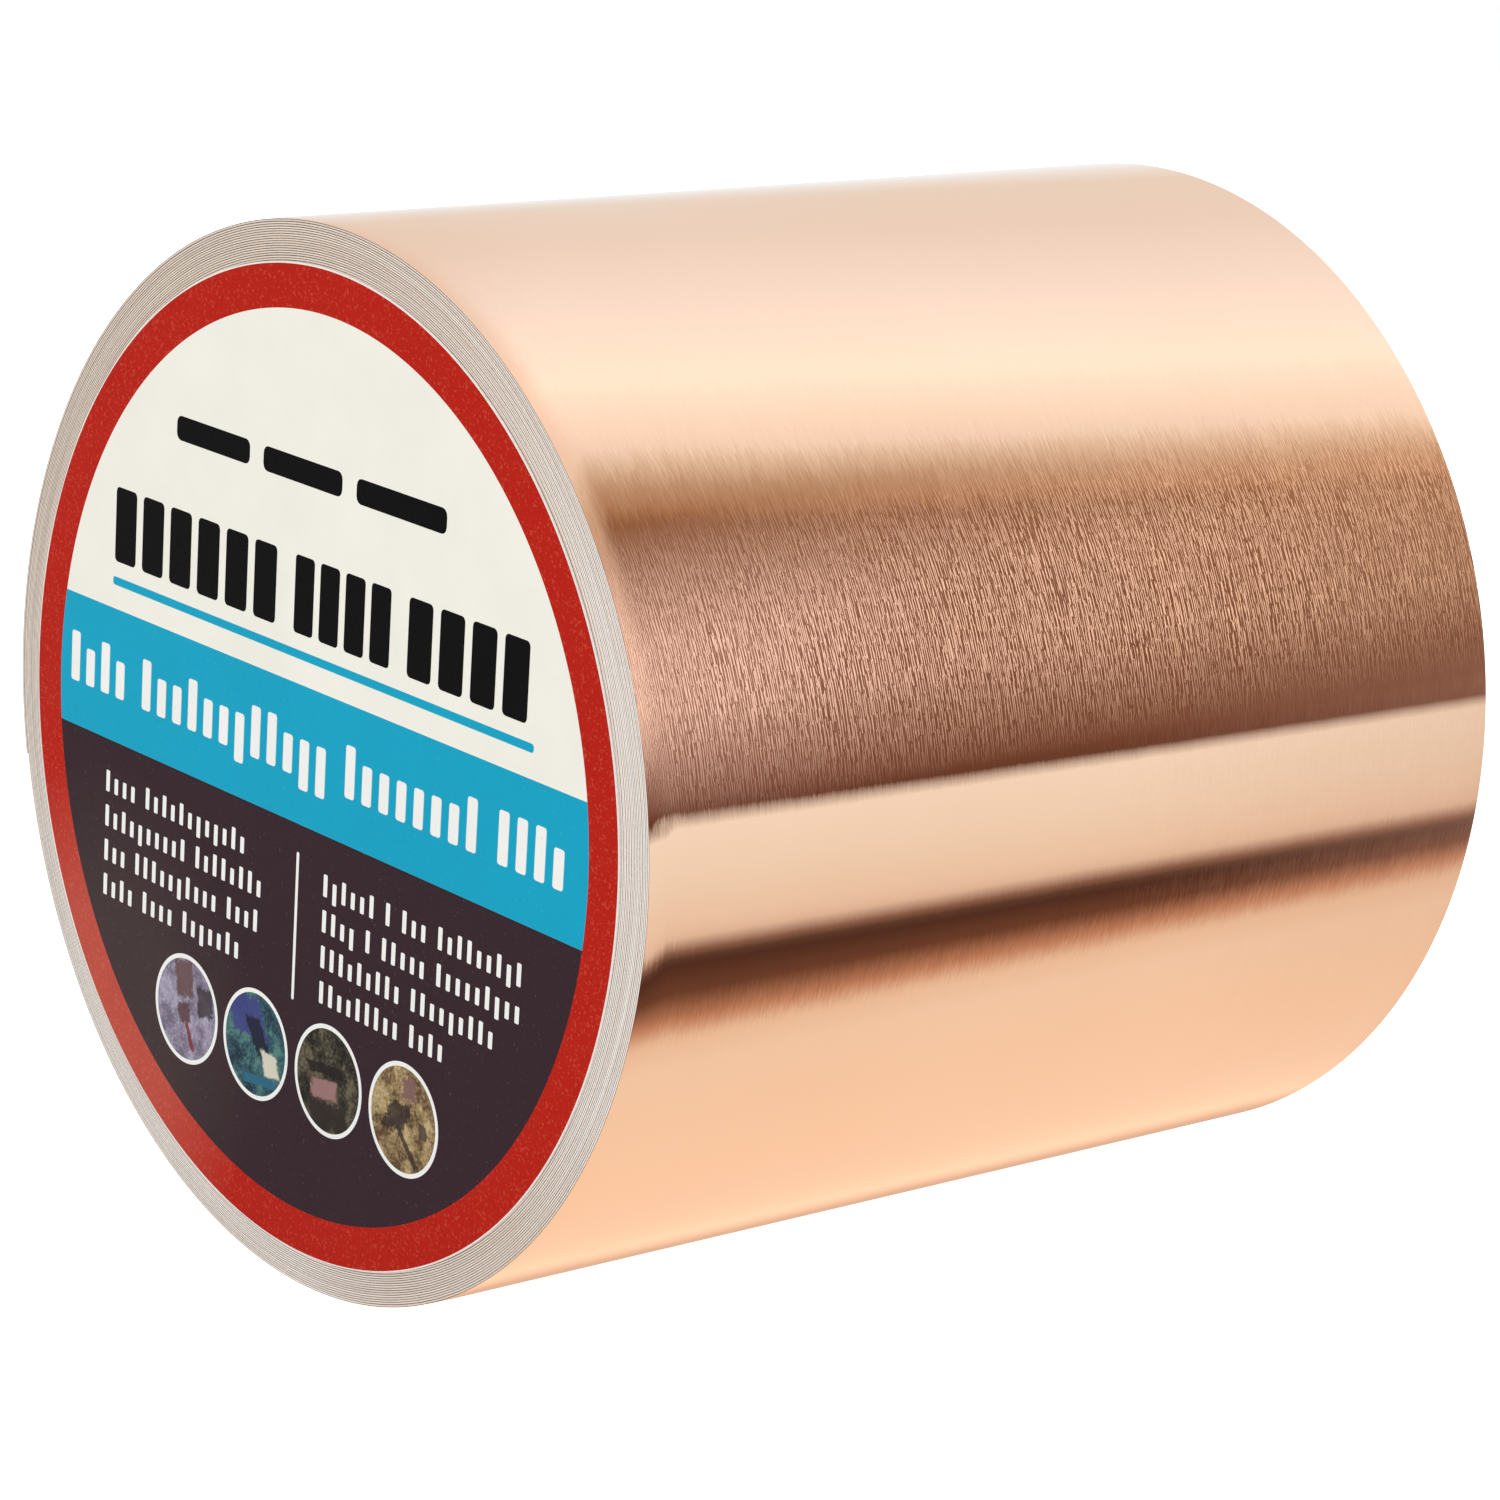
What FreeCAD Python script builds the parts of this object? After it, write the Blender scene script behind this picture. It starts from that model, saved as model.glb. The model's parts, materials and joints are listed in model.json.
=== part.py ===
"""A wide roll of adhesive copper foil tape on a paper core, with a printed round label on one end.

Frame: the roll's axis is Y, +Z is up, and the origin is the middle of the roll on its axis.
The label covers the -Y end.  The +Y end is open and shows the core and its bore.
Angles are measured about Y from +X towards +Z, in degrees.  All lengths are in millimetres.
"""

import FreeCAD, Part

import math
import os

# ---- driving dimensions ----

TAPE_WIDTH = 101.6  # 4 in
CORE_BORE_DIAMETER = 76.2  # 3 in
CORE_WALL = 3.5
ROLL_DIAMETER = 98.7

# the tape, from its inner face outwards
LINER_THICKNESS = 0.125
ADHESIVE_THICKNESS = 0.035
FOIL_THICKNESS = 0.05
TURN_PITCH = 0.214  # the laminate and a trace of trapped air

CORE_FACING_PLY = 0.4  # the smooth first and last plies of the core
CORE_BODY_PLIES = 5

START_TAPE_THICKNESS = 0.08  # the strip that holds the first turn to the core
START_TAPE_LENGTH = 25.4
START_TAPE_MARGIN = 3.0  # how far it stops short of each end of the core

LABEL_DIAMETER = 91.7
LABEL_PAPER_THICKNESS = 0.16
LABEL_ADHESIVE_THICKNESS = 0.04
LABEL_OFFSET_X = -0.36  # it is stuck on slightly off centre
LABEL_OFFSET_Z = -0.28

PEEL_ANGLE = 115.0  # where the free end of the tape leaves the roll
LEAD_SEGMENTS = 3  # the free end bends, so it is a chain of short stiff lengths
LEAD_SEGMENT_ANGLE = 24.0
TIP_ANGLE = 16.0  # the last stretch of foil, which peels off its liner
LEAD_CLEARANCE = 0.03  # the free end rests this far off the turn below it

# ---- derived dimensions ----

HALF_WIDTH = TAPE_WIDTH / 2
CORE_INNER_RADIUS = CORE_BORE_DIAMETER / 2
CORE_OUTER_RADIUS = CORE_INNER_RADIUS + CORE_WALL
CORE_BODY_PLY = (CORE_WALL - 2 * CORE_FACING_PLY) / CORE_BODY_PLIES

# heights of each layer's faces above the inner face of the tape
LINER_SPAN = (0.0, LINER_THICKNESS)
ADHESIVE_SPAN = (LINER_SPAN[1], LINER_SPAN[1] + ADHESIVE_THICKNESS)
FOIL_SPAN = (ADHESIVE_SPAN[1], ADHESIVE_SPAN[1] + FOIL_THICKNESS)
TAPE_THICKNESS = FOIL_SPAN[1]

# The spiral is drawn as half turns about two centres, each half turn half a pitch larger in radius.
HALF_TURN_STEP = TURN_PITCH / 2
CENTRE_SHIFT = HALF_TURN_STEP / 2
FIRST_RADIUS_LIMIT = CORE_OUTER_RADIUS + START_TAPE_THICKNESS + CENTRE_SHIFT
LAST_RADIUS = ROLL_DIAMETER / 2 - TAPE_THICKNESS
HALF_TURNS = math.floor((LAST_RADIUS - FIRST_RADIUS_LIMIT) / HALF_TURN_STEP) + 1
FIRST_RADIUS = LAST_RADIUS - (HALF_TURNS - 1) * HALF_TURN_STEP
OUTER_TURN_HALVES = 2  # the outer turn, counted in half turns


def point(centre, radius, angle, y):
    """The point at a radius and an angle about a centre (x, z), at height y along the roll's axis."""
    turn = math.radians(angle)
    return FreeCAD.Vector(centre[0] + radius * math.cos(turn), y, centre[1] + radius * math.sin(turn))


def arc(centre, radius, start, end, y):
    """An arc about a centre (x, z) from one angle to another."""
    middle = (start + end) / 2
    ends_and_middle = [point(centre, radius, angle, y) for angle in (start, middle, end)]
    return Part.Arc(*ends_and_middle).toShape()


def extrude_outline(edges, width):
    """The solid between an outline drawn in a plane across the roll's axis and its copy, width further along +Y."""
    wire = Part.Wire(edges)
    return Part.Face(wire).extrude(FreeCAD.Vector(0, width, 0))


def curved_strip(centre, inner_radius, outer_radius, start, end, y, width):
    """A strip of even thickness bent about a centre from one angle to another."""
    inner = arc(centre, inner_radius, start, end, y)
    outer = arc(centre, outer_radius, end, start, y)
    far_side = Part.makeLine(point(centre, inner_radius, end, y), point(centre, outer_radius, end, y))
    near_side = Part.makeLine(point(centre, outer_radius, start, y), point(centre, inner_radius, start, y))
    return extrude_outline([inner, far_side, outer, near_side], width)


def tube(inner_radius, outer_radius):
    """A tube as long as the tape is wide."""
    along = FreeCAD.Vector(0, 1, 0)
    start = FreeCAD.Vector(0, -HALF_WIDTH, 0)
    outside = Part.makeCylinder(outer_radius, TAPE_WIDTH, start, along)
    inside = Part.makeCylinder(inner_radius, TAPE_WIDTH, start, along)
    return outside.cut(inside)


def label_disc(near_face, thickness):
    """One layer of the label, from its face nearer the roll outwards along -Y."""
    centre = FreeCAD.Vector(LABEL_OFFSET_X, near_face, LABEL_OFFSET_Z)
    return Part.makeCylinder(LABEL_DIAMETER / 2, thickness, centre, FreeCAD.Vector(0, -1, 0))


def half_turn(number):
    """The centre, inner radius and start angle of a half turn; number 0 is the first one on the core."""
    half_turns_left = HALF_TURNS - number
    starts_at_peel_angle = half_turns_left % 2 == 0
    shift = -CENTRE_SHIFT if starts_at_peel_angle else CENTRE_SHIFT
    peel_turn = math.radians(PEEL_ANGLE)
    centre = (shift * math.cos(peel_turn), shift * math.sin(peel_turn))
    return centre, FIRST_RADIUS + number * HALF_TURN_STEP, PEEL_ANGLE - 180.0 * half_turns_left


def spiral_edges(height, first, last):
    """The spiral at a height above the inner face of the tape, over a run of half turns."""
    edges = []
    for number in range(first, last + 1):
        centre, radius, start = half_turn(number)
        edges.append(arc(centre, radius + height, start, start + 180.0, -HALF_WIDTH))
    return edges


def wound_layer(span, first, last):
    """One layer of the wound tape, as a single coiled strip, over a run of half turns."""
    start_centre, start_radius, start_angle = half_turn(first)
    end_centre, end_radius, end_start_angle = half_turn(last)
    end_angle = end_start_angle + 180.0
    start_points = [point(start_centre, start_radius + height, start_angle, -HALF_WIDTH) for height in span]
    end_points = [point(end_centre, end_radius + height, end_angle, -HALF_WIDTH) for height in span]
    inner = spiral_edges(span[0], first, last)
    outer = spiral_edges(span[1], first, last)
    ends = [Part.makeLine(*start_points), Part.makeLine(*end_points)]
    return extrude_outline(Part.__sortEdges__(inner + outer + ends), TAPE_WIDTH)


def lead_layer(span, start, end):
    """One layer of a length of the free end, between two angles on from the peel line."""
    centre, radius, peel_angle = half_turn(HALF_TURNS)
    inner_radius = radius + LEAD_CLEARANCE + span[0]
    outer_radius = radius + LEAD_CLEARANCE + span[1]
    near_angle = peel_angle + start
    far_angle = peel_angle + end
    return curved_strip(centre, inner_radius, outer_radius, near_angle, far_angle, -HALF_WIDTH, TAPE_WIDTH)


def build_core():
    """The paper core's plies, from the bore outwards."""
    plies = {"core_inner_ply": tube(CORE_INNER_RADIUS, CORE_INNER_RADIUS + CORE_FACING_PLY)}
    radius = CORE_INNER_RADIUS + CORE_FACING_PLY
    for number in range(1, CORE_BODY_PLIES + 1):
        plies[f"core_body_ply_{number}"] = tube(radius, radius + CORE_BODY_PLY)
        radius += CORE_BODY_PLY
    plies["core_outer_ply"] = tube(CORE_OUTER_RADIUS - CORE_FACING_PLY, CORE_OUTER_RADIUS)
    return plies


def build_start_tape():
    """The double-sided strip that holds the first turn to the core, under the start of the spiral."""
    start = half_turn(0)[2]
    end = start + math.degrees(START_TAPE_LENGTH / CORE_OUTER_RADIUS)
    outer_radius = CORE_OUTER_RADIUS + START_TAPE_THICKNESS
    y = START_TAPE_MARGIN - HALF_WIDTH
    width = TAPE_WIDTH - 2 * START_TAPE_MARGIN
    return {"core_start_tape": curved_strip((0, 0), CORE_OUTER_RADIUS, outer_radius, start, end, y, width)}


def build_wound_tape():
    """The tape on the roll: the buried turns, and the outer turn that is seen and handled."""
    runs = {
        "inner_turns": (0, HALF_TURNS - OUTER_TURN_HALVES - 1),
        "outer_turn": (HALF_TURNS - OUTER_TURN_HALVES, HALF_TURNS - 1),
    }
    pieces = {}
    for run, (first, last) in runs.items():
        pieces[f"{run}_liner"] = wound_layer(LINER_SPAN, first, last)
        pieces[f"{run}_adhesive"] = wound_layer(ADHESIVE_SPAN, first, last)
        pieces[f"{run}_foil"] = wound_layer(FOIL_SPAN, first, last)
    return pieces


def build_lead():
    """The free end of the tape.  At its tip the foil and adhesive peel off the liner."""
    pieces = {}
    for segment in range(1, LEAD_SEGMENTS + 1):
        start = (segment - 1) * LEAD_SEGMENT_ANGLE
        end = start + LEAD_SEGMENT_ANGLE
        foil_end = end - TIP_ANGLE if segment == LEAD_SEGMENTS else end
        pieces[f"lead_{segment}_liner"] = lead_layer(LINER_SPAN, start, end)
        pieces[f"lead_{segment}_adhesive"] = lead_layer(ADHESIVE_SPAN, start, foil_end)
        pieces[f"lead_{segment}_foil"] = lead_layer(FOIL_SPAN, start, foil_end)
    lead_end = LEAD_SEGMENTS * LEAD_SEGMENT_ANGLE
    pieces["tip_adhesive"] = lead_layer(ADHESIVE_SPAN, lead_end - TIP_ANGLE, lead_end)
    pieces["tip_foil"] = lead_layer(FOIL_SPAN, lead_end - TIP_ANGLE, lead_end)
    return pieces


def build_label():
    """The round label on the -Y end: an adhesive coat and the printed paper."""
    adhesive_face = -HALF_WIDTH
    paper_face = adhesive_face - LABEL_ADHESIVE_THICKNESS
    return {
        "label_adhesive": label_disc(adhesive_face, LABEL_ADHESIVE_THICKNESS),
        "label_paper": label_disc(paper_face, LABEL_PAPER_THICKNESS),
    }


os.makedirs("parts", exist_ok=True)
for build in (build_core, build_start_tape, build_wound_tape, build_lead, build_label):
    for node, shape in build().items():
        shape.exportStep(f"parts/{node}.step")
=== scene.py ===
"""Looks for the copper foil tape roll: its wound layers, free end, paper core and printed label.

The frame's origin is the middle of the roll on its axis, +Y points out of the open end, and +Z is up.
Lengths are in metres.  Angles about Y run from +X towards +Z.  The tape's own coordinates are the angle
it has been unwound past the peel line, where the wound part is negative, and the distance across it.
"""

import json
import math
import random

import bpy
from mathutils import Matrix, Vector, noise


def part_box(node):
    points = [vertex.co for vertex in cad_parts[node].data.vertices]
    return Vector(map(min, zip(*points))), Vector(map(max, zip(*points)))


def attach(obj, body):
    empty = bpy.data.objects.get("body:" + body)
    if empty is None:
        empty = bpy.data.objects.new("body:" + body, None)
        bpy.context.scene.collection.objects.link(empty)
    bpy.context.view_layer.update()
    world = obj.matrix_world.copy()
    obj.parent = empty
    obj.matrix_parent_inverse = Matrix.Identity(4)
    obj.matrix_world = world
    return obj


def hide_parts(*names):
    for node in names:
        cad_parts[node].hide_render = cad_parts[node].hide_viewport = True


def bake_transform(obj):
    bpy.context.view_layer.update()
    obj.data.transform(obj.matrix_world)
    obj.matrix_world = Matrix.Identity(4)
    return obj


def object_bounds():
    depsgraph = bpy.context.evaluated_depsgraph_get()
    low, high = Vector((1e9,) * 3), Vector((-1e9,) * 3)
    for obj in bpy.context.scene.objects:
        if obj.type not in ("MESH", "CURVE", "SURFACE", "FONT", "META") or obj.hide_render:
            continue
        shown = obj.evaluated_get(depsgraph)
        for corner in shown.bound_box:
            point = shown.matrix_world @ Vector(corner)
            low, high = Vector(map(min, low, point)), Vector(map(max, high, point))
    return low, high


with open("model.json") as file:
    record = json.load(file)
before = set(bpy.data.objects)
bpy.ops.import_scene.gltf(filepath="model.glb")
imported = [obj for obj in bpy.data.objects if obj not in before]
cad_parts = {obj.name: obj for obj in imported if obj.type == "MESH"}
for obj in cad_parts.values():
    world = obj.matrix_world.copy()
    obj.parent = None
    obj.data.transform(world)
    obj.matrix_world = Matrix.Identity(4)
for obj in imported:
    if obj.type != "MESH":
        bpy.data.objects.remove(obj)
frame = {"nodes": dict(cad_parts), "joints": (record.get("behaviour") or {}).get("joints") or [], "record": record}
cad_low, cad_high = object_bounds()

MM = 0.001
SEED = 11

# ---- sizes taken from the frame ----

record = frame["record"]
joints = {joint["name"]: joint for joint in frame["joints"]}
mounts = {mount["name"]: mount for mount in record["mounts"]}

ROLL_START, ROLL_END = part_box("core_outer_ply")[0].y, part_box("core_outer_ply")[1].y
TAPE_WIDTH = ROLL_END - ROLL_START
BORE_RADIUS = mounts["spindle_bore"]["dims"]["r_mm"] * MM
CORE_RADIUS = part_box("core_outer_ply")[1].x

peel_x, _, peel_z = joints["lead_lift"]["pos_m"]
PEEL_ANGLE = math.atan2(peel_z, peel_x)
LABEL_LOW, LABEL_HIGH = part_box("label_paper")
LABEL_CENTRE = (LABEL_LOW + LABEL_HIGH) / 2
LABEL_RADIUS = (LABEL_HIGH.x - LABEL_LOW.x) / 2
FLOOR_HEIGHT = cad_low.z

# ---- the tape ----

LINER = 0.125 * MM  # the thickness of each layer
ADHESIVE = 0.035 * MM
FOIL = 0.05 * MM
TURN_PITCH = 0.214 * MM  # from one turn to the next
HALF_TURNS = 70  # in the wound tape
LEAD_CLEARANCE = 0.03 * MM  # the free end rests this far off the turn below it
SETTLE_ANGLE = math.radians(12)  # the last wound part rises to that over this angle
LAYERS = {
    "liner": (0.0, LINER),
    "adhesive": (LINER, LINER + ADHESIVE),
    "foil": (LINER + ADHESIVE, LINER + ADHESIVE + FOIL),
}
TAPE_THICKNESS = LAYERS["foil"][1]
CENTRE_SHIFT = TURN_PITCH / 4  # the spiral is half turns about two centres
LEAD_RADIUS = math.hypot(peel_x, peel_z) + CENTRE_SHIFT - TAPE_THICKNESS - LEAD_CLEARANCE

EDGE_ROUNDING = 0.07 * MM  # how far the pack is pressed in at its labelled end
EDGE_ROUNDING_WIDTH = 2.6 * MM
OPEN_END_SHARE = 0.15  # the open end is pressed in by this share of that
PACK_GIVE = 4 * MM  # turns nearer the core than this are pressed in less
EDGE_WANDER = 0.045 * MM  # how far a turn strays sideways
EDGE_WANDERS = 0.55  # how quickly it does so, for each radian
WANDER_ROW = 3.1  # the row of the noise it is read from
SURFACE_WAVE = 0.004 * MM  # the height of slow waves in the tape's surface
SURFACE_WAVE_WIDTH = 14 * MM
SURFACE_WAVES = 2.2  # for each radian

NICK_ANGLE = math.radians(14.1)  # a nick in the foil's edge at the open end
NICK_DEPTH = 0.45 * MM
NICK_HALF_WIDTH = math.radians(0.22)
DENT_ANGLE = math.radians(2.6)  # a small dent beside the label
DENT_FROM_EDGE = 1.3 * MM
DENT_DEPTH = 0.012 * MM
DENT_RADIUS = 0.9 * MM

FULL_TURN = 2 * math.pi
ANGLE_GUARD = 1e-9  # keeps the first point of a half turn in that half turn


def smooth(value):
    """A smooth step from 0 to 1."""
    value = min(1.0, max(0.0, value))
    return value * value * (3 - 2 * value)


def edge_press(y):
    """How far the tape is pressed inwards at a place across it."""
    label_end = max(0.0, 1 - (y - ROLL_START) / EDGE_ROUNDING_WIDTH)
    open_end = max(0.0, 1 - (ROLL_END - y) / EDGE_ROUNDING_WIDTH)
    return EDGE_ROUNDING * (label_end * label_end + OPEN_END_SHARE * open_end * open_end)


def around(angle, centre):
    """The difference between two angles, in the range -pi to pi."""
    return (angle - centre + math.pi) % FULL_TURN - math.pi


def tape_point(unwound, across, height):
    """A point of the tape: the angle unwound past the peel line, the share across it, the height in it."""
    half_turn = math.floor(unwound / math.pi + ANGLE_GUARD)
    half_turn = min(half_turn, 0)
    side = -1 if half_turn % 2 == 0 else 1
    angle = PEEL_ANGLE + unwound
    y = ROLL_START + TAPE_WIDTH * across
    lift = LEAD_CLEARANCE * smooth(1 + unwound / SETTLE_ANGLE)
    radius = LEAD_RADIUS + half_turn * TURN_PITCH / 2 + height + lift
    radius -= edge_press(y) * min(1.0, (radius - CORE_RADIUS) / PACK_GIVE)
    wave_place = Vector((y / SURFACE_WAVE_WIDTH, unwound * SURFACE_WAVES, SEED))
    radius += SURFACE_WAVE * noise.noise(wave_place)
    if unwound > -FULL_TURN:
        off_angle = around(angle, DENT_ANGLE) * radius
        off_edge = y - ROLL_START - DENT_FROM_EDGE
        radius -= DENT_DEPTH * math.exp(-(off_angle ** 2 + off_edge ** 2) / DENT_RADIUS ** 2)
    y += EDGE_WANDER * noise.noise(Vector((unwound * EDGE_WANDERS, WANDER_ROW, SEED)))
    if across == 1.0 and height > LINER and unwound > -FULL_TURN:
        off = abs(around(angle, NICK_ANGLE)) / NICK_HALF_WIDTH
        y -= NICK_DEPTH * max(0.0, 1 - off)
    x = side * CENTRE_SHIFT * math.cos(PEEL_ANGLE) + radius * math.cos(angle)
    z = side * CENTRE_SHIFT * math.sin(PEEL_ANGLE) + radius * math.sin(angle)
    return Vector((x, y, z))


# ---- mesh helpers ----

RING_STEPS = 256
SHARP_ANGLE = 40


def make_object(name, vertices, faces, materials, face_materials=None, sharp=SHARP_ANGLE, uvs=None):
    """A smooth-shaded object whose edges over the sharp angle stay crisp."""
    mesh = bpy.data.meshes.new(name)
    mesh.from_pydata(vertices, [], faces)
    for material in materials:
        mesh.materials.append(material)
    if face_materials:
        mesh.polygons.foreach_set("material_index", face_materials)
    if uvs:
        layer = mesh.uv_layers.new(name="tape")
        for loop in mesh.loops:
            layer.data[loop.index].uv = uvs[loop.vertex_index]
    mesh.shade_smooth()
    mesh.set_sharp_from_angle(angle=math.radians(sharp))
    mesh.validate()
    mesh.update()
    thing = bpy.data.objects.new(name, mesh)
    bpy.context.scene.collection.objects.link(thing)
    return thing


def tape_strip(name, start, end, span, materials, lines, step):
    """A length of one layer of the tape as a closed mesh; the second material is for its cut edges."""
    stations = max(1, round((end - start) / step))
    angles = [start + (end - start) * number / stations for number in range(stations + 1)]
    nick = NICK_ANGLE - PEEL_ANGLE
    nick -= FULL_TURN * math.ceil(nick / FULL_TURN)
    if start < nick < end and lines > 1:
        corners = [nick + NICK_HALF_WIDTH * share for share in (-1, -0.4, 0, 0.4, 1)]
        angles = sorted(angles + corners)
    shares = [(1 - math.cos(math.pi * line / lines)) / 2 for line in range(lines + 1)]
    shares[-1] = 1.0
    vertices = []
    uvs = []
    for angle in angles:
        for share in shares:
            for height in span:
                vertices.append(tape_point(angle, share, height))
                uvs.append((angle * LEAD_RADIUS, share * TAPE_WIDTH))
    row = 2 * len(shares)
    faces = []
    face_materials = []
    for station in range(len(angles) - 1):
        here = station * row
        there = here + row
        for line in range(lines):
            a, b = 2 * line, 2 * line + 2
            faces.append((here + a, here + b, there + b, there + a))
            faces.append((here + a + 1, there + a + 1, there + b + 1, here + b + 1))
            face_materials += [0, 0]
        last = row - 2
        faces.append((here, there, there + 1, here + 1))
        faces.append((here + last, here + last + 1, there + last + 1, there + last))
        face_materials += [1, 1]
    for base, flip in ((0, False), ((len(angles) - 1) * row, True)):
        for line in range(lines):
            corners = [base + 2 * line, base + 2 * line + 1, base + 2 * line + 3, base + 2 * line + 2]
            faces.append(tuple(reversed(corners)) if flip else tuple(corners))
            face_materials.append(1)
    return make_object(name, vertices, faces, materials, face_materials, uvs=uvs)


def lathe(name, profile, material, sharp):
    """A ring from a closed profile of (radius, y) points, turned about the roll's axis."""
    vertices = []
    for step in range(RING_STEPS):
        angle = FULL_TURN * step / RING_STEPS
        for radius, y in profile:
            vertices.append((radius * math.cos(angle), y, radius * math.sin(angle)))
    count = len(profile)
    faces = []
    for step in range(RING_STEPS):
        here = step * count
        there = (step + 1) % RING_STEPS * count
        for index in range(count):
            after = (index + 1) % count
            faces.append((here + index, there + index, there + after, here + after))
    return make_object(name, vertices, faces, [material], sharp=sharp)


def finish_piece(thing, body, slot, *nodes):
    """Fixes a finished piece to its body and hides the nodes it stands for."""
    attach(thing, body)
    if nodes:
        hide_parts(*nodes)
    return thing


# ---- material helpers ----


class Graph:
    """A node tree with short ways to add nodes and join them."""

    def __init__(self, tree):
        self.tree = tree
        tree.nodes.clear()

    def add(self, kind, inputs=None, **settings):
        """Adds a node, sets its settings, and sets or joins its inputs; returns its first output."""
        node = self.tree.nodes.new(kind)
        for name, value in settings.items():
            setattr(node, name, value)
        for key, value in (inputs or {}).items():
            if isinstance(value, bpy.types.NodeSocket):
                self.tree.links.new(value, node.inputs[key])
            else:
                node.inputs[key].default_value = value
        return node.outputs[0] if node.outputs else node

    def math(self, operation, *values):
        """A maths node."""
        return self.add("ShaderNodeMath", dict(enumerate(values)), operation=operation)

    def noise(self, vector, scale=1.0, detail=2.0, roughness=0.5, distortion=0.0):
        """Noise between about 0 and 1."""
        inputs = {"Vector": vector, "Scale": scale, "Detail": detail}
        inputs.update({"Roughness": roughness, "Distortion": distortion})
        return self.add("ShaderNodeTexNoise", inputs, noise_dimensions="3D")

    def stretch(self, value, low, high, to_low=0.0, to_high=1.0):
        """Maps a value from one range to another, held inside it."""
        inputs = {"Value": value, "From Min": low, "From Max": high, "To Min": to_low, "To Max": to_high}
        return self.add("ShaderNodeMapRange", inputs, clamp=True)

    def ramp(self, value, stops):
        """A colour ramp through (position, colour) stops."""
        ramp = self.add("ShaderNodeValToRGB", {"Fac": value}).node
        elements = ramp.color_ramp.elements
        while len(elements) > 1:
            elements.remove(elements[-1])
        elements[0].position, elements[0].color = stops[0][0], (*stops[0][1], 1)
        for position, colour in stops[1:]:
            elements.new(position).color = (*colour, 1)
        return ramp.outputs["Color"]

    def mix(self, factor, first, second, blend="MIX"):
        """Mixes two colours."""
        node = self.tree.nodes.new("ShaderNodeMix")
        node.data_type = "RGBA"
        node.blend_type = blend
        for socket, value in ((0, factor), (6, first), (7, second)):
            if isinstance(value, bpy.types.NodeSocket):
                self.tree.links.new(value, node.inputs[socket])
            else:
                node.inputs[socket].default_value = value if socket == 0 else (*value[:3], 1)
        return node.outputs[2]

    def split(self, vector):
        """The three parts of a vector."""
        return self.add("ShaderNodeSeparateXYZ", {"Vector": vector}).node.outputs

    def join(self, x, y, z=0.0):
        """A vector from its three parts."""
        return self.add("ShaderNodeCombineXYZ", {"X": x, "Y": y, "Z": z})

    def bump(self, height, strength, distance):
        """A surface normal from a height."""
        return self.add("ShaderNodeBump", {"Height": height, "Strength": strength, "Distance": distance})

    def finish(self, **inputs):
        """Ends the tree in a Principled shader; underscores in names stand for spaces."""
        named = {name.replace("_", " "): value for name, value in inputs.items()}
        shader = self.add("ShaderNodeBsdfPrincipled", named)
        self.add("ShaderNodeOutputMaterial", {"Surface": shader})


def material_graph(name):
    """A new material and its graph."""
    material = bpy.data.materials.new(name)
    material.use_nodes = True
    return material, Graph(material.node_tree)


def place(graph):
    """The point being shaded, in the frame."""
    return graph.add("ShaderNodeTexCoord").node.outputs["Object"]


def srgb(red, green, blue):
    """A linear colour from 8-bit display values."""
    linear = []
    for value in (red, green, blue):
        share = value / 255
        linear.append(share / 12.92 if share <= 0.04045 else ((share + 0.055) / 1.055) ** 2.4)
    return tuple(linear)


# ---- materials ----
# Roughness, mixing and noise ranges are shares without a unit.

COPPER = (0.97, 0.61, 0.41)
WORN_COPPER = (0.93, 0.56, 0.36)
COPPER_SHEEN = (1.0, 0.95, 0.91, 1.0)
SCRATCH_LENGTH = 1.2 * MM
SCRATCH_WIDTH = 0.26 * MM
SCRATCH_TILT = 0.0103  # how far the surface turns from one side of a scratch to the other
SCRATCH_SPREAD = 0.0103  # how far apart the tilts of two scratches' middles can be
SCRATCH_SLANT = 0.05
WAVE_DEPTH = 0.01 * MM
GAP_SHADE_ANGLE = math.radians(120)  # the middles of the two parts of the rim where the gaps between turns get painted shade
GAP_SHADE_ANGLE_BELOW = math.radians(298)
PER_MM = 1 / MM  # turns a length into a number of millimetres
SEAM_PITCH = 88 * MM  # of the strips the core is wound from
PAINTED_SHEEN_CENTRE = LABEL_CENTRE + Vector((-33, 0, -28)) * MM  # painted sheen: light is painted over this corner of the label
PAINTED_SHEEN_INNER = 10 * MM
PAINTED_SHEEN_OUTER = 24 * MM
PAINTED_SHEEN_COLOUR = (0.95, 0.75, 0.55)


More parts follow.
